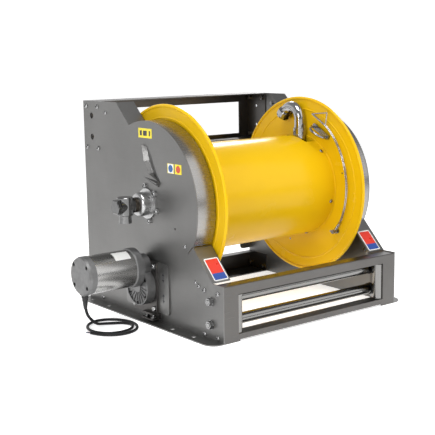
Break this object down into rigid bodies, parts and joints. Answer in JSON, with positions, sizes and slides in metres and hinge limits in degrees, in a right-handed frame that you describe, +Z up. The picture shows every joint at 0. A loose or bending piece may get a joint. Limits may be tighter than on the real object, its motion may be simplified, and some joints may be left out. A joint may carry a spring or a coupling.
{
  "type": "motorised hose reel",
  "caption": "Floor-standing motorised hose reel: steel drum with swan-neck outlet and swivel inlet between folded side plates, chain-drive gearmotor and a front guide with rollers.",
  "frame": {"origin": "on the floor, at the centre of the outer floor-bolt rectangle", "axes": "+Z up, +X along the drum away from the gearmotor, +Y to the rear, away from the roller guide"},
  "size_m": [0.899, 0.66, 0.6],
  "materials": {
    "stainless": "satin brushed stainless sheet",
    "dark_steel": "satin, dark",
    "yellow_paint": "gloss powder coat",
    "zinc": "bright zinc",
    "roller_steel": "turned and polished",
    "plate_steel": "satin",
    "cast_aluminium": "fine sand cast",
    "motor_steel": "brushed round the axis",
    "chrome": "polished",
    "bronze": "turned",
    "wire_steel": "bright drawn",
    "machined_steel": "machined",
    "black_screw": "black oxide",
    "black_plastic": "fine grain",
    "cable_black": "satin cable jacket",
    "front_label": "plain two-tone decal",
    "panel_label": "plain decal",
    "white_label": "plain decal"
  },
  "bodies": {
    "frame": {"left_side_plate": "stainless", "right_side_plate": "stainless", "arc_strips": "stainless", "front_roller_frame": "stainless", "rear_frame": "dark_steel", "rear_crossbar": "dark_steel", "frame_bolts": "zinc", "horizontal_roller_axles": "zinc", "roller_axle_nuts": "zinc", "roller_bushes": "black_plastic", "vertical_roller_pins": "zinc", "motor_mount_plate": "plate_steel", "motor_slide_plate": "zinc", "motor_mount_bolts": "zinc", "tension_foot": "zinc", "gearbox_housing": "cast_aluminium", "gearbox_cover": "cast_aluminium", "gearmotor_screws": "black_screw", "motor_flange": "cast_aluminium", "motor_body": "motor_steel", "motor_end_cap": "cast_aluminium", "motor_label": "white_label", "cable_gland": "black_plastic", "left_bearing_housing": "zinc", "right_bearing_housing": "zinc", "drum_bearings": "machined_steel", "housing_bolts": "zinc", "drive_chain": "machined_steel", "front_labels": "front_label", "panel_labels": "panel_label", "gearmotor_bearings": "machined_steel", "power_cable": "cable_black", "power_cable_coil": "cable_black"},
    "drum": {"drum_barrel": "yellow_paint", "left_disc": "yellow_paint", "right_disc": "yellow_paint", "drum_end_plates": "yellow_paint", "hollow_shaft": "machined_steel", "stub_shaft": "machined_steel", "drum_screws": "zinc", "driven_sprocket": "machined_steel", "hub_bolts": "zinc", "feed_pipe": "chrome", "gooseneck_outlet": "chrome", "outlet_nut": "chrome", "hose_clamp": "zinc", "wire_anchor": "zinc", "swivel_nipple": "bronze"},
    "retaining_wire": {"retaining_wire": "wire_steel", "wire_spring": "wire_steel"},
    "swivel": {"swivel_elbow": "chrome", "swivel_end_plug": "chrome"},
    "top_roller": {"top_roller": "roller_steel"},
    "bottom_roller": {"bottom_roller": "roller_steel"},
    "left_roller": {"left_roller": "roller_steel"},
    "right_roller": {"right_roller": "roller_steel"},
    "output": {"output_gear": "machined_steel", "drive_sprocket": "machined_steel"},
    "rotor": {"motor_rotor": "machined_steel"}
  },
  "joints": [
    {"name": "drum_spin", "type": "hinge", "parent": "frame", "child": "drum", "pos_m": [0, -0.028, 0.328], "axis": [1, 0, 0], "continuous": true, "deforming": ["drive_chain"]},
    {"name": "output_spin", "type": "hinge", "parent": "frame", "child": "output", "pos_m": [0, -0.018, 0.09722], "axis": [1, 0, 0], "continuous": true},
    {"name": "rotor_spin", "type": "hinge", "parent": "frame", "child": "rotor", "pos_m": [0, -0.018, 0.15322], "axis": [1, 0, 0], "continuous": true},
    {"name": "swivel_turn", "type": "hinge", "parent": "frame", "child": "swivel", "pos_m": [0, -0.028, 0.328], "axis": [1, 0, 0], "continuous": true},
    {"name": "top_roller_spin", "type": "hinge", "parent": "frame", "child": "top_roller", "pos_m": [0, -0.307, 0.104], "axis": [1, 0, 0], "continuous": true},
    {"name": "bottom_roller_spin", "type": "hinge", "parent": "frame", "child": "bottom_roller", "pos_m": [0, -0.307, 0.043], "axis": [1, 0, 0], "continuous": true},
    {"name": "left_roller_spin", "type": "hinge", "parent": "frame", "child": "left_roller", "pos_m": [-0.263, -0.342, 0.0725], "axis": [0, 0, 1], "continuous": true},
    {"name": "right_roller_spin", "type": "hinge", "parent": "frame", "child": "right_roller", "pos_m": [0.263, -0.342, 0.0725], "axis": [0, 0, 1], "continuous": true},
    {"name": "wire_swing", "type": "hinge", "parent": "drum", "child": "retaining_wire", "pos_m": [0.2385, -0.19112, 0.20056], "axis": [1, 0, 0], "range_deg": [0, 7]}
  ],
  "couplings": [
    {"joint": "output_spin", "follows": "drum_spin", "ratio": 4.6154},
    {"joint": "rotor_spin", "follows": "drum_spin", "ratio": -18.881}
  ]
}
